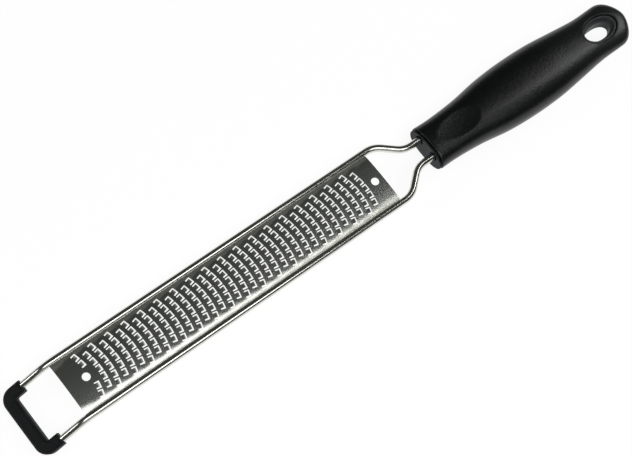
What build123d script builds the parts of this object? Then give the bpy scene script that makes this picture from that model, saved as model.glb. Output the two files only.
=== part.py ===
from build123d import *
import math
import os

# Rasp zester: a bent wire frame carries an etched blade strip, a rubber foot
# covers the wire's front loop, and a two-part core holds the wire's tails
# inside a soft grip. Tip towards -X, handle towards +X, teeth up. The foot and
# the grip's belly rest on Z = 0.

overrun = 5.0                    # how far cutting shapes reach past what they cut

# Frame wire
wire_diameter = 4.0
frame_spacing = 32.9             # between the two side wires, centre to centre
neck_spacing = 11.4              # between the wires where they enter the handle
neck_bend_radius = 9.0
neck_run = 13.0                  # length of the slanted stretch
neck_lead = 7.1                  # blade's rear edge to where the wires turn in
neck_reach = 10.5                # straight wire from the neck to the handle's face
tip_bend_angle = 27.5            # the tip slopes down to the foot
tip_bend_lead = 0.9              # blade's front edge to the corner of that bend
tip_bend_radius = 8.0
tip_corner_radius = 6.0
tail_length = 46.0               # wire inside the handle, up to the anchor bend
tail_bend_radius = 4.0
tail_anchor = 5.0                # reach of the outward bent wire end

# Rubber foot, as walls round the wire
foot_bar_wall = 1.85
foot_back_wall = 1.35            # on the bar's side towards the blade
foot_face_wall = 1.0
foot_side_wall = 0.8
foot_inner_wall = 1.6
foot_arm_length = 9.2            # from the bar's centre line to the arm's end
foot_corner_radius = 7.0
foot_edge_radius = 1.8
foot_inner_radius = 1.0
foot_flat = 0.3                  # depth of the flat that the foot stands on
foot_clearance = 0.05

# Etched blade
blade_setback = 26.45            # from the foot's front to the blade's front edge
blade_length = 198.0
blade_thickness = 0.5
blade_rise = 2.55                # top of the blade above the wires' centres
crown_radius = 137.0
edge_bend_angle = 45.0
edge_bend_radius = 3.0
edge_overhang = 0.3              # flange past its line of contact with the wire
weld_gap = 0.05

# Teeth
tooth_row_pitch = 4.935
tooth_pitch = 4.38               # from tooth to tooth within one row
tooth_side_margin = 3.45         # outermost tooth centres to the wires
tooth_front_margin = 14.2        # blade edge to the first row
tooth_rear_margin = 11.0
row_arc_radius = 41.6
tooth_width = 3.7
tooth_slot = 1.1                 # opening ahead of the cutting edge
tooth_leg_length = 1.7
tooth_leg_width = 0.8
round_hole_diameter = 4.3
front_hole_inset = 11.1
rear_hole_inset = 5.1
round_hole_land = 2.85           # no tooth's centre lies nearer to a hole's edge

# Handle
handle_length = 142.9
handle_width = 34.9
handle_rise = 7.2                # top of the handle above the wires' centres
belly_clearance = 0.07
cap_length = 11.0                # rounded rear end
cap_lift = 0.8                   # its tip lies above the middle of the last section
cap_reach_power = 0.84
cap_width_power = 1.23
cap_height_power = 0.49          # the lower, the blunter the cap seen from the side
fullness = 0.66                  # of the section's corners, 0.55 is an ellipse
grip_wall = 2.0
bond_clearance = 0.05
collar_length = 0.8
collar_inset = 0.5
collar_edge_radius = 0.5
groove_width = 0.8
entry_clearance = 0.6            # recess round each wire in the handle's face
entry_depth = 1.2
wire_clearance = 0.05

# Hang hole
hang_hole_length = 23.0
hang_hole_width = 14.8
hang_hole_inset = 18.3           # hole centre to the handle's rear end
liner_wall = 0.8
liner_gap = 0.4
liner_recess = 1.0
liner_ledge = 1.5                # the lower half's hole is narrower by this

# Thumb rest
thumb_start = 4.8                # front of the dish from the handle's face
thumb_length = 29.0
thumb_width = 17.0
thumb_depth = 1.3
thumb_height = 6.0               # half height of the ellipsoid that scoops it

# Sections of the grip, from its face to the start of the rounded end: place
# along that length, half width, rise above and depth below the wires' centres
place_shares = (0.0, 0.091, 0.227, 0.364, 0.5, 0.644, 0.781, 0.895, 1.0)
width_shares = (0.745, 0.735, 0.8, 0.942, 1.0, 0.981, 0.878, 0.792, 0.79)
rise_shares = (0.67, 0.74, 0.853, 0.947, 1.0, 0.951, 0.814, 0.71, 0.675)
depth_shares = (0.683, 0.753, 0.867, 0.983, 1.0, 0.945, 0.837, 0.675, 0.455)
body_sections = 19
cap_angles = (14.0, 26.0, 38.0, 50.0, 62.0, 74.0)

wire_radius = wire_diameter / 2
side_y = frame_spacing / 2
neck_y = neck_spacing / 2
half_bar = wire_radius + foot_bar_wall
half_foot = wire_radius + foot_face_wall
slope = math.radians(tip_bend_angle)

# Places along X, from the foot's front to the handle's rear end
overall_length = (blade_setback + blade_length + neck_lead + neck_run + neck_reach
                  + handle_length)
tip_x = -overall_length / 2
blade_x = tip_x + blade_setback
slope_x = blade_x - tip_bend_lead
blade_end_x = blade_x + blade_length
neck_in_x = blade_end_x + neck_lead
neck_out_x = neck_in_x + neck_run
handle_x = neck_out_x + neck_reach
handle_end_x = handle_x + handle_length
cap_x = handle_end_x - cap_length
grip_x = handle_x + collar_length + groove_width
tail_x = handle_x + tail_length
hang_x = handle_end_x - hang_hole_inset
front_hole_x = blade_x + front_hole_inset
rear_hole_x = blade_end_x - rear_hole_inset


def rounded_reach(along, across, radius, angle):
    # half extent of a rounded rectangle that is turned by the angle
    corner_reach = (along - radius) * math.cos(angle) + (across - radius) * math.sin(angle)
    return corner_reach + radius


# Heights: the foot's flat is at zero, and the slope lifts the frame from there
bar_x = tip_x + rounded_reach(half_bar, half_foot, foot_edge_radius, slope)
bar_z = rounded_reach(half_foot, half_bar, foot_edge_radius, slope) - foot_flat
wire_z = bar_z + (slope_x - bar_x) * math.tan(slope)
crest_z = wire_z + blade_rise
belly_depth = wire_z - belly_clearance


def wire_path():
    half = [
        (tail_x, neck_y + tail_anchor, wire_z),
        (tail_x, neck_y, wire_z),
        (neck_out_x, neck_y, wire_z),
        (neck_in_x, side_y, wire_z),
        (slope_x, side_y, wire_z),
        (bar_x, side_y, bar_z),
    ]
    radii = [
        tail_bend_radius,
        neck_bend_radius,
        neck_bend_radius,
        tip_bend_radius,
        tip_corner_radius,
    ]
    other_half = [(x, -y, z) for x, y, z in reversed(half)]
    return FilletPolyline(*half, *other_half, radius=radii + radii[::-1])


def wire_tube(radius):
    path = wire_path()
    section = Plane(origin=path @ 0, z_dir=path % 0) * Circle(radius)
    return sweep(section, path=path)


def make_foot():
    outer_y = side_y + wire_radius + foot_side_wall
    inner_y = side_y - wire_radius - foot_inner_wall
    window_x = wire_radius + foot_back_wall
    outline = Rectangle(
        foot_arm_length + half_bar,
        2 * outer_y,
        align=(Align.MIN, Align.CENTER),
    )
    outline = Location((-half_bar, 0)) * outline
    outline = fillet(outline.vertices().group_by(Axis.X)[0], radius=foot_corner_radius)
    window = Rectangle(
        foot_arm_length - window_x + overrun,
        2 * inner_y,
        align=(Align.MIN, Align.CENTER),
    )
    window = Location((window_x, 0)) * window
    window = fillet(window.vertices().group_by(Axis.X)[0], radius=foot_inner_radius)
    shape = outline - window
    boot = extrude(shape, amount=half_foot, both=True)
    rims = boot.faces().filter_by(Axis.Z).edges()
    boot = fillet(rims, radius=foot_edge_radius)
    slope_plane = Plane(
        origin=(bar_x, 0, bar_z),
        x_dir=(math.cos(slope), 0, math.sin(slope)),
        z_dir=(-math.sin(slope), 0, math.cos(slope)),
    )
    boot = slope_plane * boot
    boot -= wire_tube(wire_radius + foot_clearance)
    below = Box(
        overall_length,
        overall_length,
        half_foot,
        align=(Align.CENTER, Align.CENTER, Align.MAX),
    )
    return boot - below


def blade_section():
    # the crown runs into a bend whose flange lies along the wire's inner flank
    bend = math.radians(edge_bend_angle)
    normal_y = math.sin(bend)
    normal_z = math.cos(bend)
    wire_reach = side_y * normal_y - blade_rise * normal_z
    flange_reach = wire_reach - wire_radius - weld_gap
    crown_reach = crown_radius * normal_z
    turn = math.acos((flange_reach - edge_bend_radius + crown_reach) / (crown_radius - edge_bend_radius))
    crown_angle = bend - turn
    centre_y = (crown_radius - edge_bend_radius) * math.sin(crown_angle)
    centre_z = (crown_radius - edge_bend_radius) * math.cos(crown_angle) - crown_radius
    flange_start = centre_y * normal_z - centre_z * normal_y
    flange_length = side_y * normal_z + blade_rise * normal_y - flange_start + edge_overhang

    def surface(depth):
        # points of the sheet's face that lies this deep below its top
        crown = crown_radius - depth
        corner = edge_bend_radius - depth
        middle_angle = bend - turn / 2
        crown_end = (crown * math.sin(crown_angle), crown * math.cos(crown_angle) - crown_radius)
        bend_middle = (
            centre_y + corner * math.sin(middle_angle),
            centre_z + corner * math.cos(middle_angle),
        )
        bend_end = (centre_y + corner * normal_y, centre_z + corner * normal_z)
        flange_end = (
            bend_end[0] + flange_length * normal_z,
            bend_end[1] - flange_length * normal_y,
        )
        return (0, -depth), crown_end, bend_middle, bend_end, flange_end

    def face_curves(depth):
        top, crown_end, bend_middle, bend_end, flange_end = surface(depth)
        mirrored = [(-y, z) for y, z in (crown_end, bend_middle, bend_end, flange_end)]
        curves = [
            Line(flange_end, bend_end),
            ThreePointArc(bend_end, bend_middle, crown_end),
            ThreePointArc(crown_end, top, mirrored[0]),
            ThreePointArc(mirrored[0], mirrored[1], mirrored[2]),
            Line(mirrored[2], mirrored[3]),
        ]
        return curves, flange_end, mirrored[3]

    upper, upper_right, upper_left = face_curves(0)
    lower, lower_right, lower_left = face_curves(blade_thickness)
    ends = [Line(upper_right, lower_right), Line(upper_left, lower_left)]
    return make_face(Curve() + upper + lower + ends)


def tooth_places():
    holes = [(front_hole_x, 0), (rear_hole_x, 0)]
    keep_out = round_hole_diameter / 2 + round_hole_land
    field_width = 2 * (side_y - wire_radius - tooth_side_margin)
    field_length = blade_length - tooth_front_margin - tooth_rear_margin
    full_row = int(field_width / tooth_pitch) + 1
    places = []
    for row in range(int(field_length / tooth_row_pitch) + 1):
        row_x = blade_x + tooth_front_margin + row * tooth_row_pitch
        teeth = full_row - row % 2
        for tooth in range(teeth):
            y = (tooth - (teeth - 1) / 2) * tooth_pitch
            angle = math.asin(y / row_arc_radius)
            x = row_x - row_arc_radius * (1 - math.cos(angle))
            if min(math.dist((x, y), hole) for hole in holes) > keep_out:
                places.append(Location((x, y), math.degrees(angle)))
    return places


def tooth_opening():
    # a bracket: the slot lies ahead of the cutting edge, the legs free its sides
    outer_y = tooth_width / 2
    inner_y = outer_y - tooth_leg_width
    outline = Polyline(
        (tooth_slot, -outer_y),
        (tooth_slot, outer_y),
        (-tooth_leg_length, outer_y),
        (-tooth_leg_length, inner_y),
        (0, inner_y),
        (0, -inner_y),
        (-tooth_leg_length, -inner_y),
        (-tooth_leg_length, -outer_y),
        close=True,
    )
    return extrude(make_face(outline), amount=overrun, both=True)


def make_blade():
    profile_plane = Plane(origin=(blade_x, 0, crest_z), x_dir=(0, 1, 0), z_dir=(1, 0, 0))
    sheet = extrude(profile_plane * blade_section(), amount=blade_length)
    opening = tooth_opening()
    level = Location((0, 0, crest_z))
    cutters = [level * place * opening for place in tooth_places()]
    round_hole = Cylinder(round_hole_diameter / 2, 2 * overrun)
    cutters += [level * Location((x, 0)) * round_hole for x in (front_hole_x, rear_hole_x)]
    return sheet - cutters


def section_face(x, half_width, top_z, bottom_z):
    # four quarters, each fuller than a quarter of an ellipse
    half_height = (top_z - bottom_z) / 2
    plane = Plane(origin=(x, 0, top_z - half_height), x_dir=(0, 1, 0), z_dir=(1, 0, 0))
    quarters = []
    for y_side, z_side in ((1, 1), (-1, 1), (-1, -1), (1, -1)):
        wide = y_side * half_width
        high = z_side * half_height
        corners = [(wide, 0), (wide, fullness * high), (fullness * wide, high), (0, high)]
        if y_side != z_side:
            corners.reverse()
        quarters.append(Bezier(*corners))
    return plane * Face(Wire(quarters))


def slope_at(shares, index):
    before = max(index - 1, 0)
    after = min(index + 1, len(shares) - 1)
    return (shares[after] - shares[before]) / (place_shares[after] - place_shares[before])


def share_at(shares, place):
    # a smooth curve through the shares
    index = max(i for i, start in enumerate(place_shares[:-1]) if start <= place)
    step = place_shares[index + 1] - place_shares[index]
    along = (place - place_shares[index]) / step
    blend = along**2 * (3 - 2 * along)
    value = (1 - blend) * shares[index] + blend * shares[index + 1]
    value += along * (1 - along) ** 2 * step * slope_at(shares, index)
    value -= along**2 * (1 - along) * step * slope_at(shares, index + 1)
    return value


def handle_form(inset):
    # the handle's outside, drawn in by the inset
    sections = []
    for index in range(body_sections):
        place = index / (body_sections - 1)
        x = handle_x + place * (cap_x - handle_x)
        half_width = share_at(width_shares, place) * handle_width / 2 - inset
        top_z = wire_z + share_at(rise_shares, place) * handle_rise - inset
        bottom_z = wire_z - share_at(depth_shares, place) * belly_depth + inset
        sections.append(section_face(x, half_width, top_z, bottom_z))
    middle_z = (top_z + bottom_z) / 2
    half_height = (top_z - bottom_z) / 2
    last_sine = math.sin(math.radians(cap_angles[-1]))
    for angle in cap_angles:
        turn = math.radians(angle)
        reach = (cap_length - inset) * (math.sin(turn) / last_sine) ** cap_reach_power
        width = half_width * math.cos(turn) ** cap_width_power
        height = half_height * math.cos(turn) ** cap_height_power
        level = middle_z + cap_lift * (1 - math.cos(turn))
        sections.append(section_face(cap_x + reach, width, level + height, level - height))
    return loft(sections)


def hang_oval(inset):
    outline = Ellipse(hang_hole_length / 2 - inset, hang_hole_width / 2 - inset)
    height = wire_z + handle_rise + overrun
    return extrude(Location((hang_x, 0)) * outline, amount=height)


def thumb_dish():
    # an ellipsoid whose cut at the surface has the dish's length and width
    centre_x = handle_x + thumb_start + thumb_length / 2
    level = 1 - thumb_depth / thumb_height
    spread = 1 / math.sqrt(1 - level**2)
    scoop = scale(
        Sphere(1),
        by=(spread * thumb_length / 2, spread * thumb_width / 2, thumb_height),
    )
    place = (centre_x - handle_x) / (cap_x - handle_x)
    surface_z = wire_z + share_at(rise_shares, place) * handle_rise
    return Location((centre_x, 0, surface_z - thumb_depth + thumb_height)) * scoop


def make_grip():
    hollow = handle_form(grip_wall)
    front = Box(
        grip_x - handle_x + overrun,
        2 * handle_width,
        2 * (wire_z + handle_rise),
        align=(Align.MAX, Align.CENTER, Align.CENTER),
    )
    front = Location((grip_x, 0, wire_z)) * front
    return handle_form(0) - hollow - hang_oval(0) - front - thumb_dish()


def make_core():
    half_width = width_shares[0] * handle_width / 2 - collar_inset
    top_z = wire_z + rise_shares[0] * handle_rise - collar_inset
    bottom_z = wire_z - depth_shares[0] * belly_depth + collar_inset
    collar = extrude(
        section_face(handle_x, half_width, top_z, bottom_z),
        amount=collar_length,
    )
    front_edges = collar.faces().sort_by(Axis.X)[0].edges()
    collar = fillet(front_edges, radius=collar_edge_radius)
    liner = hang_oval(liner_gap) & handle_form(liner_recess)
    core = handle_form(grip_wall + bond_clearance) + collar + liner
    entry = Cylinder(
        wire_radius + entry_clearance,
        entry_depth + overrun,
        rotation=(0, 90, 0),
        align=(Align.CENTER, Align.CENTER, Align.MAX),
    )
    core -= wire_tube(wire_radius + wire_clearance)
    for y in (neck_y, -neck_y):
        core -= Location((handle_x + entry_depth, y, wire_z)) * entry
    return core


def make_core_halves():
    core = make_core()
    block = Box(
        2 * overall_length,
        2 * handle_width,
        wire_z + handle_rise + overrun,
        align=(Align.CENTER, Align.CENTER, Align.MIN),
    )
    above = Location((0, 0, wire_z)) * block
    upper = core & above
    lower = core - above
    bore = liner_gap + liner_wall
    return upper - hang_oval(bore), lower - hang_oval(bore + liner_ledge)


core_upper, core_lower = make_core_halves()
nodes = {
    "frame_wire": wire_tube(wire_radius),
    "tip_foot": make_foot(),
    "rasp_blade": make_blade(),
    "core_upper": core_upper,
    "core_lower": core_lower,
    "handle_grip": make_grip(),
}

os.makedirs("parts", exist_ok=True)
for name, shape in nodes.items():
    export_step(shape, f"parts/{name}.step")
    print(name, "solids", len(shape.solids()), "volume", round(shape.volume, 1))
print("overall length", overall_length, "wire height", round(wire_z, 2))
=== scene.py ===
import math
import bmesh
import bpy
from mathutils import Matrix, Vector


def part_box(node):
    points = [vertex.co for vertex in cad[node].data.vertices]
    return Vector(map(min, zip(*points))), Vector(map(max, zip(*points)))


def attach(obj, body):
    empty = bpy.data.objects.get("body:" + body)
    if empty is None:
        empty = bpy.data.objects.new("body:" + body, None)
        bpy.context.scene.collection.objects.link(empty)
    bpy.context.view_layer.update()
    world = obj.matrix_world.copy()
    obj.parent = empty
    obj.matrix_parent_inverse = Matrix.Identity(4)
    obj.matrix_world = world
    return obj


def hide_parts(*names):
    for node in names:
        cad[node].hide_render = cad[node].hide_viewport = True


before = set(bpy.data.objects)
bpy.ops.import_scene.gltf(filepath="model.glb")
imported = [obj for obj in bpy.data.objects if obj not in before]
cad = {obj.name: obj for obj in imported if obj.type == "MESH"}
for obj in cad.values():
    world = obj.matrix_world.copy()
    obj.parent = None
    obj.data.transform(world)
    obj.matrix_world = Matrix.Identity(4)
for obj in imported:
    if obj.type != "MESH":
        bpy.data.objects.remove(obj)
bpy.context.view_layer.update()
scene = bpy.context.scene
mm = 0.001
print("stage: frame loaded,", len(cad), "nodes")


def addObject(name, data):
    thing = bpy.data.objects.new(name, data)
    scene.collection.objects.link(thing)
    return thing


def addShape(name, points, faces=(), edges=()):
    mesh = bpy.data.meshes.new(name)
    mesh.from_pydata(points, edges, faces)
    return addObject(name, mesh)


# camera at the photograph's angle, places in millimetres in the part's frame
view = {
    "place": (-356.73, -196.74, 866.93),
    "aim": (-21.25, -2.86, 17.2),
    "right": (0.7727, -0.6131, 0.1648),
    "focal": 1846.0,            # in pixels of the photograph
    "imageWidth": 632,
    "sensor": 36.0,
    "clip": (0.01, 20.0),       # in metres
}


def makeCamera():
    data = bpy.data.cameras.new("camera")
    data.sensor_width = view["sensor"]
    data.lens = view["focal"] / view["imageWidth"] * view["sensor"]
    data.clip_start, data.clip_end = view["clip"]
    place = Vector(view["place"]) * mm
    back = (place - Vector(view["aim"]) * mm).normalized()
    up = back.cross(Vector(view["right"])).normalized()
    matrix = Matrix((up.cross(back), up, back)).transposed().to_4x4()
    matrix.translation = place
    camera = addObject("camera", data)
    camera.matrix_world = matrix
    scene.camera = camera


# node helpers, for materials and for Geometry Nodes alike
layout = {"columns": 8, "width": 200, "height": 260}    # how the nodes are spread in the editor


def addNode(tree, kind, **settings):
    node = tree.nodes.new(kind)
    row, column = divmod(len(tree.nodes), layout["columns"])
    node.location = (column * layout["width"], -row * layout["height"])
    for key, value in settings.items():
        setattr(node, key, value)
    return node


def feed(tree, node, name, value):
    # a socket is linked, anything else becomes the input's own value
    target = node.inputs[name]
    if isinstance(value, bpy.types.NodeSocket):
        tree.links.new(value, target)
    else:
        target.default_value = value


def calculate(tree, operation, first, second=0.0, third=0.0):
    node = addNode(tree, "ShaderNodeMath", operation=operation)
    for place, value in enumerate((first, second, third)):
        feed(tree, node, place, value)
    return node.outputs[0]


def remap(tree, value, low, high, newLow=0.0, newHigh=1.0):
    node = addNode(tree, "ShaderNodeMapRange")
    limits = {"From Min": low, "From Max": high, "To Min": newLow, "To Max": newHigh}
    feed(tree, node, "Value", value)
    for name, limit in limits.items():
        feed(tree, node, name, limit)
    return node.outputs[0]


def mixColours(tree, share, first, second):
    # inputs 6 and 7 are the colours, output 2 is their mix
    node = addNode(tree, "ShaderNodeMix", data_type="RGBA")
    tree.links.new(share, node.inputs[0])
    for place, colour in ((6, first), (7, second)):
        isSocket = isinstance(colour, bpy.types.NodeSocket)
        feed(tree, node, place, colour if isSocket else (*colour, 1))
    return node.outputs[2]


def makeNoise(tree, place, scale, detail, distortion=0.0):
    noise = addNode(tree, "ShaderNodeTexNoise")
    feed(tree, noise, "Vector", place)
    feed(tree, noise, "Scale", scale)
    feed(tree, noise, "Detail", detail)
    feed(tree, noise, "Distortion", distortion)
    return noise.outputs[0]


def makeMaterial(name):
    material = bpy.data.materials.new(name)
    material.use_nodes = True
    material.node_tree.nodes.clear()
    return material


def showShader(tree, shader):
    tree.links.new(shader.outputs[0], addNode(tree, "ShaderNodeOutputMaterial").inputs[0])


# studio: a white paper floor, a soft dome that is pale at the horizon, and soft lamps, in metres
studio = {
    "floorSize": 8.0,
    "paperColour": (0.16, 0.16, 0.16),    # what the floor gives back as lit paper
    "paperGlow": 0.91,                    # the rest of the white, seen directly and in reflections
    "domeColour": (0.045, 0.048, 0.045),
    "horizonColour": (0.80, 0.81, 0.78),
    "horizonHeight": (0.0, 0.18),         # sine of the elevation where the dome darkens, from and to
    "lamps": {
        "sideSoftbox": {"place": (-0.11, -0.42, 1.05), "size": (1.0, 0.45), "watts": 4.5},
        "lowSoftbox": {"place": (-0.3, -1.1, 0.62), "size": (0.9, 0.45), "watts": 0.6},
        "rearSoftbox": {"place": (0.76, -0.11, 1.06), "size": (0.14, 0.45), "watts": 0.85},
        "endSoftbox": {"place": (0.98, 0.0, 0.76), "size": (0.4, 0.3), "watts": 1.8},
        "tipSoftbox": {"place": (-1.25, 0.55, 0.75), "size": (0.7, 0.7), "watts": 4.0},
    },
}


def makeFloorPaper():
    material = makeMaterial("floorPaper")
    tree = material.node_tree
    paper = addNode(tree, "ShaderNodeBsdfDiffuse")
    paper.inputs["Color"].default_value = (*studio["paperColour"], 1)
    rays = addNode(tree, "ShaderNodeLightPath").outputs
    seen = calculate(tree, "MAXIMUM", rays["Is Camera Ray"], rays["Is Glossy Ray"])
    seen = calculate(tree, "MAXIMUM", seen, rays["Is Transmission Ray"])
    glow = addNode(tree, "ShaderNodeEmission")
    feed(tree, glow, "Strength", calculate(tree, "MULTIPLY", seen, studio["paperGlow"]))
    both = addNode(tree, "ShaderNodeAddShader")
    tree.links.new(paper.outputs[0], both.inputs[0])
    tree.links.new(glow.outputs[0], both.inputs[1])
    showShader(tree, both)
    return material


def makeFloor():
    half = studio["floorSize"] / 2
    corners = [(-half, -half, 0), (half, -half, 0), (half, half, 0), (-half, half, 0)]
    floor = addShape("floor", corners, [(0, 1, 2, 3)])
    floor.data.materials.append(makeFloorPaper())


def makeDome():
    world = bpy.data.worlds.new("studioDome")
    scene.world = world
    world.use_nodes = True
    tree = world.node_tree
    parts = addNode(tree, "ShaderNodeSeparateXYZ")
    feed(tree, parts, 0, addNode(tree, "ShaderNodeTexCoord").outputs["Generated"])
    share = remap(tree, parts.outputs["Z"], *studio["horizonHeight"])
    tone = mixColours(tree, share, studio["horizonColour"], studio["domeColour"])
    tree.links.new(tone, tree.nodes["Background"].inputs[0])


def makeLamps():
    for name, lamp in studio["lamps"].items():
        data = bpy.data.lights.new(name, "AREA")
        data.shape = "RECTANGLE"
        data.size, data.size_y = lamp["size"]
        data.energy = lamp["watts"]
        softbox = addObject(name, data)
        softbox.location = lamp["place"]
        towards = -Vector(lamp["place"])
        softbox.rotation_euler = towards.to_track_quat("-Z", "Y").to_euler()


makeCamera()
makeFloor()
makeDome()
makeLamps()
scene.view_settings.view_transform = "Standard"
print("stage: camera and studio")

# finishes: two tones that drift into each other, a roughness range and a fine relief in metres
finishes = {
    "bladeSteel": {
        "dark": (0.52, 0.54, 0.50), "light": (0.64, 0.65, 0.60), "drift": 45.0,
        "metal": 1.0, "rough": (0.22, 0.27), "gloss": 0.5,
        "stretch": (30.0, 2600.0, 700.0), "relief": 0.0000009,
        "lipPaintedHighlight": (0.84, 0.84, 0.78), "lipRough": 0.14,    # a painted highlight on the lips as a brighter tone, and a rougher skin
    },
    "wireSteel": {
        "dark": (0.62, 0.62, 0.57), "light": (0.78, 0.78, 0.74), "drift": 60.0,
        "metal": 1.0, "rough": (0.14, 0.18), "gloss": 0.5,
        "stretch": (30.0, 220.0, 220.0), "relief": 0.0000004,
    },
    "footRubber": {
        "dark": (0.002, 0.003, 0.0035), "light": (0.006, 0.008, 0.009), "drift": 160.0,
        "metal": 0.0, "rough": (0.50, 0.66), "gloss": 0.22,
        "stretch": (1000.0, 1000.0, 1000.0), "relief": 0.00011,
    },
    "corePlastic": {
        "dark": (0.0015, 0.002, 0.003), "light": (0.013, 0.019, 0.024), "drift": 420.0,
        "metal": 0.0, "rough": (0.36, 0.50), "gloss": 0.17,
        "stretch": (700.0, 700.0, 700.0), "relief": 0.00016,
        "rearTone": (0.07, 0.077, 0.079), "rearReach": (0.15, 0.165),    # painted light: the liner in the hang hole is paler, as if lit
    },
    "gripRubber": {
        "dark": (0.0012, 0.0025, 0.0017), "light": (0.0035, 0.0054, 0.0042), "drift": 70.0,
        "metal": 0.0, "rough": (0.27, 0.37), "gloss": 0.46,
        "stretch": (850.0, 850.0, 850.0), "relief": 0.00013,
        "rearTone": (0.0105, 0.0135, 0.0115), "rearReach": (0.14, 0.18),
    },
}
skin = {                          # what all finishes share
    "driftDetail": 4.0,
    "driftDistortion": 0.4,
    "driftRange": (0.3, 0.7),     # of the slow noise, from the dark tone to the light one
    "driftShare": 0.65,
    "grainScale": 1.0,            # the stretch gives the grain its size
    "grainDetail": 3.0,
    "grainRange": (0.25, 0.75),   # of the grain, from the low roughness to the high one
    "grainShare": 0.35,
    "bump": 0.6,
}


def makeFinish(name):
    finish = finishes[name]
    material = makeMaterial(name)
    tree = material.node_tree
    shader = addNode(tree, "ShaderNodeBsdfPrincipled")
    shader.inputs["Metallic"].default_value = finish["metal"]
    shader.inputs["Specular IOR Level"].default_value = finish["gloss"]
    showShader(tree, shader)
    place = addNode(tree, "ShaderNodeTexCoord").outputs["Object"]
    drift = makeNoise(tree, place, finish["drift"], skin["driftDetail"], skin["driftDistortion"])
    stretched = addNode(tree, "ShaderNodeMapping")
    feed(tree, stretched, "Vector", place)
    feed(tree, stretched, "Scale", finish["stretch"])
    grain = makeNoise(tree, stretched.outputs[0], skin["grainScale"], skin["grainDetail"])
    slow = remap(tree, drift, *skin["driftRange"], 0.0, skin["driftShare"])
    share = calculate(tree, "MULTIPLY_ADD", grain, skin["grainShare"], slow)
    colour = mixColours(tree, share, finish["dark"], finish["light"])
    roughness = remap(tree, grain, *skin["grainRange"], *finish["rough"])
    # the lips get a painted highlight as a brighter tone, and a rougher skin
    if "lipPaintedHighlight" in finish:
        lip = addNode(tree, "ShaderNodeAttribute", attribute_name="lip").outputs["Fac"]
        colour = mixColours(tree, lip, colour, finish["lipPaintedHighlight"])
        roughness = calculate(tree, "MULTIPLY_ADD", lip, finish["lipRough"], roughness)
    # a paler tone towards the rear end; on the core it is painted light on the hang hole's liner
    if "rearTone" in finish:
        parts = addNode(tree, "ShaderNodeSeparateXYZ")
        feed(tree, parts, 0, place)
        rear = remap(tree, parts.outputs["X"], *finish["rearReach"])
        colour = mixColours(tree, rear, colour, finish["rearTone"])
    feed(tree, shader, "Base Color", colour)
    feed(tree, shader, "Roughness", roughness)
    bump = addNode(tree, "ShaderNodeBump")
    feed(tree, bump, "Strength", skin["bump"])
    feed(tree, bump, "Distance", finish["relief"])
    feed(tree, bump, "Height", grain)
    feed(tree, shader, "Normal", bump.outputs[0])
    return material


materials = {name: makeFinish(name) for name in finishes}
print("stage: finishes,", len(materials))


# mesh helpers
def reworkMesh(mesh, rework):
    work = bmesh.new()
    work.from_mesh(mesh)
    rework(work)
    work.to_mesh(mesh)
    work.free()


def fixNormals(mesh):
    reworkMesh(mesh, lambda work: bmesh.ops.recalc_face_normals(work, faces=work.faces))


def weldPoints(mesh, reach):
    reworkMesh(mesh, lambda work: bmesh.ops.remove_doubles(work, verts=work.verts, dist=reach))


def joinMeshes(mesh, other):
    reworkMesh(mesh, lambda work: work.from_mesh(other))


def closeRings(rings):
    # one closed skin over rings of equally many points
    count = len(rings[0])
    points = [point for ring in rings for point in ring]
    faces = []
    for first in range(0, len(points) - count, count):
        for step in range(count):
            after = (step + 1) % count
            faces.append((first + step, first + after, first + count + after, first + count + step))
    faces.append(list(reversed(range(count))))
    faces.append(list(range(len(points) - count, len(points))))
    return points, faces


def evaluate(thing):
    # the modifiers' result as a plain mesh, then the helper object goes
    bpy.context.view_layer.update()
    graph = bpy.context.evaluated_depsgraph_get()
    mesh = bpy.data.meshes.new_from_object(thing.evaluated_get(graph))
    bpy.data.objects.remove(thing)
    return mesh


def cutAway(thing, cutter, name):
    cut = thing.modifiers.new(name, "BOOLEAN")
    cut.object = cutter
    cut.operation = "DIFFERENCE"
    cut.solver = "EXACT"
    mesh = evaluate(thing)
    bpy.data.objects.remove(cutter)
    return mesh


def makePiece(name, mesh, node, material, sharpAngle):
    # a finished mesh becomes a piece that stands for its CAD node
    mesh.name = name
    mesh.materials.clear()
    mesh.materials.append(materials[material])
    for face in mesh.polygons:
        face.material_index = 0
    mesh.shade_smooth()
    mesh.set_sharp_from_angle(angle=math.radians(sharpAngle))
    piece = addObject(name, mesh)
    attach(piece, "root")
    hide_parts(node)
    return piece


# helpers for the Geometry Nodes trees
def startTree(name, inputs, output):
    tree = bpy.data.node_groups.new(name, "GeometryNodeTree")
    for title, kind in inputs.items():
        tree.interface.new_socket(title, in_out="INPUT", socket_type="NodeSocket" + kind)
    tree.interface.new_socket(output, in_out="OUTPUT", socket_type="NodeSocketGeometry")
    return tree, addNode(tree, "NodeGroupInput").outputs


def endTree(tree, geometry, finish):
    real = addNode(tree, "GeometryNodeRealizeInstances")
    feed(tree, real, "Geometry", geometry)
    painted = addNode(tree, "GeometryNodeSetMaterial")
    feed(tree, painted, "Geometry", real.outputs[0])
    feed(tree, painted, "Material", finish)
    tree.links.new(painted.outputs[0], addNode(tree, "NodeGroupOutput").inputs[0])


def runTree(thing, tree, values):
    # inputs are set by the sockets' identifiers, then the result becomes a plain mesh
    modifier = thing.modifiers.new(tree.name, "NODES")
    modifier.node_group = tree
    for item in tree.interface.items_tree:
        if item.item_type == "SOCKET" and item.in_out == "INPUT" and item.name in values:
            modifier[item.identifier] = values[item.name]
    return evaluate(thing)


def clamp(value, low=0.0, high=1.0):
    return min(max(value, low), high)


def ease(share):
    return share**2 * (3 - 2 * share)


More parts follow.
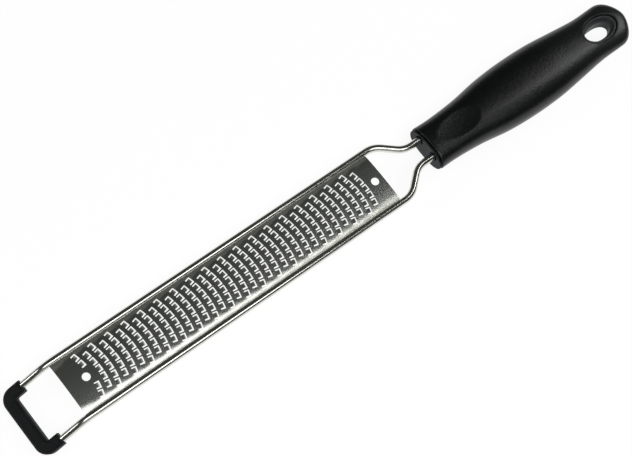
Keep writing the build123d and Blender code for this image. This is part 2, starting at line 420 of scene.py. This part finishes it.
# blade: laid out flat in millimetres, x along it and y across, then bent into its channel
blade = {
    "frontX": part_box("rasp_blade")[0].x / mm,
    "crestZ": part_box("rasp_blade")[1].z / mm,
    "length": 198.0,
    "thickness": 0.5,
    "crownRadius": 137.0,
    "halfWidth": 14.87,         # of the flat sheet, its lips end against the wires
    "plainLip": {"start": 10.41, "radius": 14.0, "angle": 23.0},
    "pushedLip": {"start": 12.3, "radius": 5.6, "angle": 32.0},    # beside the teeth
    "bulgeFront": 7.0,          # length over which the pushed lip begins at the tip's end
    "bulgeRear": 8.0,
    "rearBulge": 0.8,           # share of it that stays at the handle's end
    "scallop": 0.2,
    "lipBlend": 1.0,
    "lipSteps": 6,
    "rise": 2.55,               # crest above the wires' centres
    "rows": 36,
    "teeth": 6,                 # every other row has one less
    "firstRow": 14.2,
    "rowPitch": 4.935,
    "toothPitch": 4.38,
    "arcRadius": 41.6,          # the rows are arcs, hollow towards the tip
    "betweenRows": -0.3,        # how the sheet between the rows turns with them
    "turnFade": 3.0,            # from the sheet's edge inwards
    "toothWidth": 3.7,
    "legWidth": 0.7,
    "legLength": 1.7,
    "slot": 0.92,
    "lift": 0.7,                # how far a cutting edge stands up
    "middleLift": 0.35,         # share of that at half a leg's length
    "beforeRow": 2.6,           # where a tooth's tile starts
    "plainSteps": (4, 3),       # of the plain ends, at the tip and at the handle
    "holeDiameter": 4.3,
    "holePlaces": (11.1, 192.9),
    "holeClear": 5.0,           # no tooth nearer to a hole's centre
    "holeSteps": 48,
    "cutReach": 3.0,
    "weldReach": 0.01,
    "sharpAngle": 30,
}
tiny = 1e-6


def sectionPoint(along, lip, height):
    # a crowned face, then a lip that curves down to the wire
    crown, corner = blade["crownRadius"], lip["radius"]
    angle = along / crown
    y, z = crown * math.sin(angle), crown * (math.cos(angle) - 1)
    if along > lip["start"]:
        first, last = lip["start"] / crown, math.radians(lip["angle"])
        angle = min(first + (along - lip["start"]) / corner, last)
        past = max(along - lip["start"] - corner * (last - first), 0)
        y = (crown - corner) * math.sin(first) + corner * math.sin(angle) + past * math.cos(angle)
        z = (crown - corner) * math.cos(first) - crown + corner * math.cos(angle)
        z -= past * math.sin(angle)
    return Vector((y + height * math.sin(angle), z + height * math.cos(angle)))


def bulgeShare(x):
    # forming the teeth pushes the lip out, in scallops between the wide rows, less at the ends
    front = ease(clamp(x / blade["bulgeFront"]))
    rear = ease(clamp((blade["length"] - x) / blade["bulgeRear"]))
    wave = math.cos(math.pi * (x - blade["firstRow"]) / blade["rowPitch"])
    scallop = 1 - blade["scallop"] - blade["scallop"] * wave
    return front * (blade["rearBulge"] + (1 - blade["rearBulge"]) * rear) * scallop


def bendAcross(x, across, height):
    # from the place on the flat sheet to its place in the channel's section
    plain = sectionPoint(abs(across), blade["plainLip"], height)
    pushed = sectionPoint(abs(across), blade["pushedLip"], height)
    y, z = plain.lerp(pushed, bulgeShare(x))
    return (-y if across < 0 else y), z


def tileLines():
    # places along a tooth's tile, measured from its cutting edge
    end = blade["rowPitch"] - blade["beforeRow"]
    return (-blade["beforeRow"], -blade["legLength"], 0.0, blade["slot"], end)


def fieldEnds():
    # where the toothed part of the sheet starts and ends
    start = blade["firstRow"] - blade["beforeRow"]
    return start, start + blade["rows"] * blade["rowPitch"]


def makeToothTile():
    start, legEnd, edge, slotEnd, end = tileLines()
    half, outer = blade["toothPitch"] / 2, blade["toothWidth"] / 2
    inner, rest = outer - blade["legWidth"], half / 2
    middle = legEnd / 2
    lift = blade["lift"]
    low = lift * blade["middleLift"]
    points, faces = [], []

    def addFace(corners):
        for corner in corners:
            if corner not in points:
                points.append(corner)
        faces.append([points.index(corner) for corner in corners])

    for side in (1, -1):
        def at(x, y, z=0.0):
            return (x, side * y if y else 0.0, z)
        halfTile = [
            (at(start, 0), at(legEnd, 0), at(legEnd, inner), at(start, rest)),
            (at(start, rest), at(legEnd, inner), at(legEnd, outer), at(start, half)),
            (at(start, half), at(legEnd, outer), at(legEnd, half)),
            (at(legEnd, 0), at(middle, 0, low), at(middle, inner, low), at(legEnd, inner)),
            (at(middle, 0, low), at(edge, 0, lift), at(edge, inner, lift), at(middle, inner, low)),
            (at(legEnd, outer), at(edge, outer), at(edge, half), at(legEnd, half)),
            (at(edge, outer), at(slotEnd, outer), at(slotEnd, half), at(edge, half)),
            (at(slotEnd, 0), at(end, 0), at(end, rest), at(slotEnd, inner)),
            (at(slotEnd, inner), at(end, rest), at(end, half), at(slotEnd, outer)),
            (at(slotEnd, outer), at(end, half), at(slotEnd, half)),
        ]
        for corners in halfTile:
            addFace(corners if side > 0 else corners[::-1])
    return addShape("toothTile", points, faces)


def gridFace(first, count):
    # the face between two lines of points, each with this count
    return (first, first + count, first + count + 1, first + 1)


def makePlainTile():
    half = blade["toothPitch"] / 2
    acrossLines = [half * step / 2 for step in range(-2, 3)]
    points = [(x, y, 0) for x in tileLines() for y in acrossLines]
    count = len(acrossLines)
    rows = range(len(tileLines()) - 1)
    faces = [gridFace(row * count + step, count) for row in rows for step in range(count - 1)]
    return addShape("plainTile", points, faces)


def makeSheetBorder():
    # what the teeth leave plain: both ends and the two long edges
    half = blade["toothPitch"] / 2
    fieldHalf = blade["teeth"] * half
    lipWidth, lipSteps = blade["halfWidth"] - fieldHalf, blade["lipSteps"]
    acrossHalf = [half / 2 * step for step in range(2 * blade["teeth"] + 1)]
    acrossHalf += [fieldHalf + lipWidth * step / lipSteps for step in range(1, lipSteps + 1)]
    acrossLines = [-y for y in reversed(acrossHalf[1:])] + acrossHalf
    fieldStart, fieldEnd = fieldEnds()
    frontSteps, rearSteps = blade["plainSteps"]
    alongLines = [fieldStart * step / frontSteps for step in range(frontSteps)]
    for row in range(blade["rows"]):
        rowX = blade["firstRow"] + row * blade["rowPitch"]
        alongLines += [rowX + place for place in tileLines()[:-1]]
    rearLength = blade["length"] - fieldEnd
    alongLines += [fieldEnd + rearLength * step / rearSteps for step in range(rearSteps + 1)]
    points = [(x, y, 0) for x in alongLines for y in acrossLines]
    count = len(acrossLines)
    faces = []
    for step in range(len(alongLines) - 1):
        x = (alongLines[step] + alongLines[step + 1]) / 2
        row = math.floor((x - fieldStart) / blade["rowPitch"])
        toothed = fieldHalf - half * (row % 2) if fieldStart < x < fieldEnd else 0
        for place in range(count - 1):
            if abs(acrossLines[place] + acrossLines[place + 1]) / 2 > toothed:
                faces.append(gridFace(step * count + place, count))
    return addShape("sheetBorder", points, faces)


def buildToothTree():
    # rows of teeth, every other row with one less, and plain tiles beside the round holes
    tree, given = startTree("toothField", {
        "Sheet": "Geometry", "Tooth": "Object", "Plain": "Object", "Rows": "Int", "Teeth": "Int",
        "First row": "Float", "Row pitch": "Float", "Tooth pitch": "Float",
        "Front hole": "Float", "Rear hole": "Float", "Hole clear": "Float", "Finish": "Material",
    }, "Sheet")
    teeth = given["Teeth"]
    index = addNode(tree, "GeometryNodeInputIndex").outputs[0]
    row = calculate(tree, "FLOOR", calculate(tree, "DIVIDE", index, teeth))
    tooth = calculate(tree, "SUBTRACT", index, calculate(tree, "MULTIPLY", row, teeth))
    odd = calculate(tree, "MODULO", row, 2.0)
    last = calculate(tree, "SUBTRACT", calculate(tree, "SUBTRACT", teeth, 1.0), odd)
    offset = calculate(tree, "SUBTRACT", tooth, calculate(tree, "MULTIPLY", last, 0.5))
    rowX = calculate(tree, "MULTIPLY_ADD", row, given["Row pitch"], given["First row"])
    place = addNode(tree, "ShaderNodeCombineXYZ")
    feed(tree, place, "X", rowX)
    feed(tree, place, "Y", calculate(tree, "MULTIPLY", offset, given["Tooth pitch"]))
    points = addNode(tree, "GeometryNodePoints")
    feed(tree, points, "Count", calculate(tree, "MULTIPLY", given["Rows"], teeth))
    feed(tree, points, "Position", place.outputs[0])
    tooMany = calculate(tree, "GREATER_THAN", tooth, calculate(tree, "ADD", last, 0.5))
    spare = addNode(tree, "GeometryNodeDeleteGeometry", domain="POINT")
    feed(tree, spare, "Geometry", points.outputs[0])
    feed(tree, spare, "Selection", tooMany)
    reaches = []
    for hole in ("Front hole", "Rear hole"):
        centre = addNode(tree, "ShaderNodeCombineXYZ")
        feed(tree, centre, "X", given[hole])
        reach = addNode(tree, "ShaderNodeVectorMath", operation="DISTANCE")
        feed(tree, reach, 0, addNode(tree, "GeometryNodeInputPosition").outputs[0])
        feed(tree, reach, 1, centre.outputs[0])
        reaches.append(reach.outputs["Value"])
    nearest = calculate(tree, "MINIMUM", *reaches)
    free = calculate(tree, "GREATER_THAN", nearest, given["Hole clear"])
    taken = calculate(tree, "SUBTRACT", 1.0, free)
    joined = addNode(tree, "GeometryNodeJoinGeometry")
    tree.links.new(given["Sheet"], joined.inputs[0])
    for name, chosen in (("Tooth", free), ("Plain", taken)):
        source = addNode(tree, "GeometryNodeObjectInfo")
        feed(tree, source, "Object", given[name])
        copies = addNode(tree, "GeometryNodeInstanceOnPoints")
        feed(tree, copies, "Points", spare.outputs[0])
        feed(tree, copies, "Selection", chosen)
        feed(tree, copies, "Instance", source.outputs["Geometry"])
        tree.links.new(copies.outputs[0], joined.inputs[0])
    endTree(tree, joined.outputs[0], given["Finish"])
    return tree


def turnAlong(place):
    # how far the sheet turns with its row, at a place along the tile
    start, legEnd, _, slotEnd, end = tileLines()
    rest = blade["betweenRows"]
    knots = ((start, rest), (legEnd, legEnd), (slotEnd, slotEnd), (end, rest))
    for (low, lowTurn), (high, highTurn) in zip(knots, knots[1:]):
        if low <= place <= high + tiny:
            return lowTurn + (highTurn - lowTurn) * (place - low) / (high - low)
    return 0.0


def curveRows(x, across):
    # the rows' arcs, and the teeth turned square to them, both fading out at the sheet's ends
    half = blade["toothPitch"] / 2 * blade["teeth"]
    fieldStart, fieldEnd = fieldEnds()
    inside = clamp(across, -half, half)
    fade = min(x / fieldStart, 1, (blade["length"] - x) / (blade["length"] - fieldEnd))
    sag = blade["arcRadius"] * (1 - math.cos(inside / blade["arcRadius"]))
    if fieldStart < x < fieldEnd:
        place = (x - fieldStart) % blade["rowPitch"] - blade["beforeRow"]
        edgeFade = min(1, (blade["halfWidth"] - abs(across)) / blade["turnFade"])
        across += inside * turnAlong(place) / blade["arcRadius"] * edgeFade
    return x - fade * sag, across


def makeRoundCutters():
    points, faces = [], []
    steps, radius, reach = blade["holeSteps"], blade["holeDiameter"] / 2, blade["cutReach"]
    angles = [2 * math.pi * step / steps for step in range(steps)]
    circle = [(radius * math.cos(angle), radius * math.sin(angle)) for angle in angles]
    for holeX in blade["holePlaces"]:
        centreX, rings = blade["frontX"] + holeX, []
        for z in (-reach, reach):
            rings.append([((centreX + x) * mm, y * mm, (blade["crestZ"] + z) * mm) for x, y in circle])
        more, moreFaces = closeRings(rings)
        faces += [[len(points) + corner for corner in face] for face in moreFaces]
        points += more
    return addShape("roundCutters", points, faces)


def markLips(mesh):
    # an attribute that the finish reads for the lips' painted highlight and rougher skin: 0 on the
    # face, 1 on the lips
    lip = mesh.attributes.new("lip", "FLOAT", "POINT")
    plain, pushed = blade["plainLip"]["start"], blade["pushedLip"]["start"]
    for point in mesh.vertices:
        share = bulgeShare(point.co.x / mm - blade["frontX"])
        start = plain * (1 - share) + pushed * share
        lip.data[point.index].value = clamp((abs(point.co.y) / mm - start) / blade["lipBlend"])


def makeBlade():
    tooth, plain = makeToothTile(), makePlainTile()
    mesh = runTree(makeSheetBorder(), buildToothTree(), {
        "Tooth": tooth, "Plain": plain, "Rows": blade["rows"], "Teeth": blade["teeth"],
        "First row": blade["firstRow"], "Row pitch": blade["rowPitch"],
        "Tooth pitch": blade["toothPitch"], "Hole clear": blade["holeClear"],
        "Front hole": blade["holePlaces"][0], "Rear hole": blade["holePlaces"][1],
        "Finish": materials["bladeSteel"],
    })
    bpy.data.objects.remove(tooth)
    bpy.data.objects.remove(plain)
    weldPoints(mesh, blade["weldReach"])    # the tiles lie edge to edge, now they are one sheet
    for point in mesh.vertices:
        x, across = curveRows(point.co.x, point.co.y)
        y, z = bendAcross(point.co.x, across, point.co.z)
        point.co = Vector((blade["frontX"] + x, y, blade["crestZ"] + z)) * mm
    sheet = addObject("sheet", mesh)
    wall = sheet.modifiers.new("thickness", "SOLIDIFY")
    wall.thickness = blade["thickness"] * mm
    wall.offset = -1
    mesh = cutAway(sheet, makeRoundCutters(), "roundHoles")
    markLips(mesh)
    angle = blade["sharpAngle"]
    return makePiece("graterBlade", mesh, "rasp_blade", "bladeSteel", angle)


bladePiece = makeBlade()
print("stage: blade,", len(bladePiece.data.polygons), "faces")

# wire: its corner points in millimetres, rounded and swept by Geometry Nodes
wire = {
    "diameter": 4.0,
    "centreZ": blade["crestZ"] - blade["rise"],
    "spacing": 32.9,
    "neckSpacing": 11.4,
    "neckLead": 7.1,            # from the blade's end to the neck's first bend
    "neckRun": 13.0,
    "neckReach": 10.5,
    "tailLength": 46.0,
    "tailAnchor": 5.0,          # how far the tails turn out inside the handle
    "tipLead": 0.9,
    "tipSlope": 27.5,
    "corners": (4.0, 12.0, 13.0, 20.0, 6.0),    # bend radii from the tail to the tip
    "sides": 32,
    "arcSteps": 10,
    "sharpAngle": 40,
}


def wirePoints():
    sideY, neckY = wire["spacing"] / 2, wire["neckSpacing"] / 2
    z = wire["centreZ"]
    neckIn = blade["frontX"] + blade["length"] + wire["neckLead"]
    neckOut = neckIn + wire["neckRun"]
    tail = neckOut + wire["neckReach"] + wire["tailLength"]
    slope = blade["frontX"] - wire["tipLead"]
    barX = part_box("frame_wire")[0].x / mm + wire["diameter"] / 2
    barZ = z - (slope - barX) * math.tan(math.radians(wire["tipSlope"]))
    half = [
        (tail, neckY + wire["tailAnchor"], z), (tail, neckY, z), (neckOut, neckY, z),
        (neckIn, sideY, z), (slope, sideY, z), (barX, sideY, barZ),
    ]
    corners = [0.0, *wire["corners"]]
    points = half + [(x, -y, z) for x, y, z in reversed(half)]
    return points, corners + corners[::-1]


def buildWireTree():
    # a path with rounded corners, swept to a round wire with closed ends
    tree, given = startTree("bentWire", {
        "Path": "Geometry", "Diameter": "Float", "Sides": "Int", "Arc steps": "Int",
        "Finish": "Material",
    }, "Wire")
    path = addNode(tree, "GeometryNodeMeshToCurve")
    feed(tree, path, "Mesh", given["Path"])
    corner = addNode(tree, "GeometryNodeInputNamedAttribute", data_type="FLOAT")
    feed(tree, corner, "Name", "corner")
    rounded = addNode(tree, "GeometryNodeFilletCurve", mode="POLY")
    feed(tree, rounded, "Curve", path.outputs[0])
    feed(tree, rounded, "Count", given["Arc steps"])
    feed(tree, rounded, "Radius", corner.outputs[0])
    circle = addNode(tree, "GeometryNodeCurvePrimitiveCircle")
    feed(tree, circle, "Resolution", given["Sides"])
    feed(tree, circle, "Radius", calculate(tree, "MULTIPLY", given["Diameter"], 0.5))
    swept = addNode(tree, "GeometryNodeCurveToMesh")
    feed(tree, swept, "Curve", rounded.outputs[0])
    feed(tree, swept, "Profile Curve", circle.outputs[0])
    feed(tree, swept, "Fill Caps", True)
    endTree(tree, swept.outputs[0], given["Finish"])
    return tree


def makeWire():
    points, corners = wirePoints()
    edges = [(place, place + 1) for place in range(len(points) - 1)]
    path = addShape("wirePath", [Vector(point) * mm for point in points], edges=edges)
    radii = path.data.attributes.new("corner", "FLOAT", "POINT")
    for place, corner in enumerate(corners):
        radii.data[place].value = corner * mm
    mesh = runTree(path, buildWireTree(), {
        "Diameter": wire["diameter"] * mm, "Sides": wire["sides"],
        "Arc steps": wire["arcSteps"], "Finish": materials["wireSteel"],
    })
    angle = wire["sharpAngle"]
    return makePiece("frameWire", mesh, "frame_wire", "wireSteel", angle)


wirePiece = makeWire()
print("stage: wire,", len(wirePiece.data.polygons), "faces")

# grip: rings of one closed skin, outside and inside, then the hang hole is cut
grip = {
    "startX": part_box("handle_grip")[0].x / mm,
    "endX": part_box("handle_grip")[1].x / mm,
    "faceGap": 1.6,                 # collar and groove ahead of the rim
    "width": 34.9,
    "rise": 7.2,                    # of the top above the wires' centres
    "bellyClearance": 0.07,
    "capLength": 11.0,
    "capLift": 0.8,
    "capPowers": (0.84, 1.23, 0.49),    # of the cap's reach, width and height
    "capAngles": (7, 14, 20, 26, 32, 38, 44, 50, 56, 62, 68, 74),
    "fullness": 0.66,               # of the section's corners
    "wall": 2.0,
    "rimRadius": 0.5,
    "rimAngles": (30, 60, 90),
    # shares of the full width, rise and depth, at places along the handle
    "places": (0.0, 0.091, 0.227, 0.364, 0.5, 0.644, 0.781, 0.895, 1.0),
    "widths": (0.745, 0.735, 0.8, 0.942, 1.0, 0.981, 0.878, 0.792, 0.79),
    "rises": (0.67, 0.74, 0.853, 0.947, 1.0, 0.951, 0.814, 0.71, 0.675),
    "depths": (0.683, 0.753, 0.867, 0.983, 1.0, 0.945, 0.837, 0.675, 0.455),
    "rings": 150,
    "innerRings": 30,
    "quarterSteps": 26,
    "holeLength": 23.0,
    "holeWidth": 14.8,
    "holeInset": 18.3,
    "holeSteps": 120,
    "cutFrom": -5.0,
    "beadRadius": 0.42,
    "beadSides": 12,
    "beadOutset": 0.75,             # from the hole's edge, as a share of the bead's radius
    "beadSink": 0.12,
    "thumbStart": 6.6,
    "thumbLength": 28.5,
    "thumbDepth": 1.15,
    "thumbHollow": 0.006,           # its floor rises aside by this times the distance squared
    "thumbSkew": 0.3,               # deeper towards the rear
    "thumbEdge": 0.09,              # softness of its rim
    "sharpAngle": 38,
}
grip["handleX"] = grip["startX"] - grip["faceGap"]
grip["capX"] = grip["endX"] - grip["capLength"]


def slopeAt(shares, index):
    before, after = max(index - 1, 0), min(index + 1, len(shares) - 1)
    return (shares[after] - shares[before]) / (grip["places"][after] - grip["places"][before])


def shareAt(shares, place):
    # a smooth curve through the shares at the handle's places
    places = grip["places"]
    index = max(i for i, start in enumerate(places[:-1]) if start <= place)
    step = places[index + 1] - places[index]
    along = (place - places[index]) / step
    blend = ease(along)
    value = (1 - blend) * shares[index] + blend * shares[index + 1]
    value += along * (1 - along) ** 2 * step * slopeAt(shares, index)
    return value - along**2 * (1 - along) * step * slopeAt(shares, index + 1)


def bodySection(x, inset):
    # half width, middle and half height of the section at x
    place = clamp((x - grip["handleX"]) / (grip["capX"] - grip["handleX"]))
    width = shareAt(grip["widths"], place) * grip["width"] / 2 - inset
    top = wire["centreZ"] + shareAt(grip["rises"], place) * grip["rise"] - inset
    belly = wire["centreZ"] - grip["bellyClearance"]
    bottom = wire["centreZ"] - shareAt(grip["depths"], place) * belly + inset
    return width, (top + bottom) / 2, (top - bottom) / 2


def capSection(angle, inset):
    # place and section of one ring of the rounded rear end
    width, middle, height = bodySection(grip["capX"], inset)
    reachPower, widthPower, heightPower = grip["capPowers"]
    turn, last = math.radians(angle), math.radians(grip["capAngles"][-1])
    reach = (math.sin(turn) / math.sin(last)) ** reachPower
    x = grip["capX"] + (grip["capLength"] - inset) * reach
    middle += grip["capLift"] * (1 - math.cos(turn))
    return x, width * math.cos(turn) ** widthPower, middle, height * math.cos(turn) ** heightPower


def quarterCurve():
    # one quarter of the section, from its side to its top, on a unit square
    full = grip["fullness"]
    points = []
    for step in range(grip["quarterSteps"]):
        t = step / grip["quarterSteps"]
        y = (1 - t) ** 3 + 3 * t * (1 - t) ** 2 + 3 * t**2 * (1 - t) * full
        z = 3 * t * (1 - t) ** 2 * full + 3 * t**2 * (1 - t) + t**3
        points.append((y, z))
    return points + [(0.0, 1.0)]


def unitSection():
    quarter = quarterCurve()
    upper = quarter + [(-y, z) for y, z in reversed(quarter[1:-1])]
    return upper + [(-y, -z) for y, z in upper]


section = unitSection()


def thumbSink(x, y, below):
    # the dish's floor is a shallow hollow that cuts the crown in an oval
    share = 2 * (x - grip["handleX"] - grip["thumbStart"]) / grip["thumbLength"] - 1
    if abs(share) >= 1:
        return 0.0
    depth = grip["thumbDepth"] * (1 - share**2) * (1 + grip["thumbSkew"] * share)
    edge = grip["thumbEdge"] * (1 - share**2)
    sink = depth - grip["thumbHollow"] * y**2 - below
    if sink > edge:
        return sink
    return max(sink + edge, 0.0) ** 2 / (4 * edge)


def ringPoints(x, width, middle, height, dished=False):
    points = []
    for y, z in section:
        point = [x, y * width, middle + z * height]
        if dished and z > 0:
            point[2] -= thumbSink(x, point[1], (1 - z) * height)
        points.append(point)
    return points


def topHeight(x, y):
    # height of the grip's top at a place beside the centre plane
    if x <= grip["capX"]:
        width, middle, height = bodySection(x, 0)
    else:
        share = (x - grip["capX"]) / grip["capLength"]
        last = math.radians(grip["capAngles"][-1])
        sine = min(share ** (1 / grip["capPowers"][0]) * math.sin(last), 1)
        _, width, middle, height = capSection(math.degrees(math.asin(sine)), 0)
    curve = quarterCurve()
    share = min(abs(y) / width, 1)
    for (farY, lowZ), (nearY, highZ) in zip(curve, curve[1:]):
        if nearY <= share <= farY:
            up = (farY - share) / (farY - nearY)
            return middle + height * (lowZ + (highZ - lowZ) * up)
    return middle


def gripRings():
    # from the rear end over the outside, round the front rim and back inside
    startX, capX = grip["startX"], grip["capX"]
    rim, wall = grip["rimRadius"], grip["wall"]
    rings = [ringPoints(*capSection(angle, 0)) for angle in reversed(grip["capAngles"])]
    for step in range(grip["rings"], -1, -1):
        x = startX + rim + (capX - startX - rim) * step / grip["rings"]
        rings.append(ringPoints(x, *bodySection(x, 0), dished=True))
    for angle in grip["rimAngles"]:
        turn = math.radians(angle)
        x = startX + rim * (1 - math.sin(turn))
        rings.append(ringPoints(x, *bodySection(x, rim * (1 - math.cos(turn)))))
    for step in range(grip["innerRings"] + 1):
        x = startX + (capX - startX) * step / grip["innerRings"]
        rings.append(ringPoints(x, *bodySection(x, wall)))
    rings += [ringPoints(*capSection(angle, wall)) for angle in grip["capAngles"][::2]]
    return rings


def hangOval(angle, outset=0.0):
    centre = grip["endX"] - grip["holeInset"]
    x = centre + (grip["holeLength"] / 2 + outset) * math.cos(angle)
    return x, (grip["holeWidth"] / 2 + outset) * math.sin(angle)


def makeHangCutter():
    steps = grip["holeSteps"]
    oval = [hangOval(2 * math.pi * step / steps) for step in range(steps)]
    top = wire["centreZ"] + 2 * grip["rise"]
    points, faces = closeRings([[(x, y, z) for x, y in oval] for z in (grip["cutFrom"], top)])
    return addShape("hangCutter", [Vector(point) * mm for point in points], faces)


def makeBead():
    # a fine raised lip round the hang hole
    steps, sides, radius = grip["holeSteps"], grip["beadSides"], grip["beadRadius"]
    outset = radius * grip["beadOutset"]
    points, faces = [], []
    for step in range(steps):
        angle = 2 * math.pi * step / steps
        x, y = hangOval(angle, outset)
        ahead, aside = hangOval(angle, outset + 1)
        outward = Vector((ahead - x, aside - y, 0)).normalized()
        centre = Vector((x, y, topHeight(x, y) - grip["beadSink"]))
        for side in range(sides):
            turn = 2 * math.pi * side / sides
            arm = outward * math.cos(turn) + Vector((0, 0, math.sin(turn)))
            points.append((centre + radius * arm) * mm)
            first, after, beside = step * sides, (step + 1) % steps * sides, (side + 1) % sides
            faces.append((first + side, after + side, after + beside, first + beside))
    bead = bpy.data.meshes.new("bead")
    bead.from_pydata(points, [], faces)
    fixNormals(bead)
    return bead


def makeGrip():
    points, faces = closeRings(gripRings())
    body = addShape("gripBody", [Vector(point) * mm for point in points], faces)
    cutter = makeHangCutter()
    fixNormals(body.data)
    fixNormals(cutter.data)
    mesh = cutAway(body, cutter, "hangHole")
    joinMeshes(mesh, makeBead())
    angle = grip["sharpAngle"]
    return makePiece("softGrip", mesh, "handle_grip", "gripRubber", angle)


gripPiece = makeGrip()
print("stage: grip,", len(gripPiece.data.polygons), "faces")

# CAD nodes whose shape is right get their own finish
carried = {"tip_foot": "footRubber", "core_upper": "corePlastic", "core_lower": "corePlastic"}
for node, material in carried.items():
    cad[node].data.materials.clear()
    cad[node].data.materials.append(materials[material])
print("stage: finishes on the carried nodes")
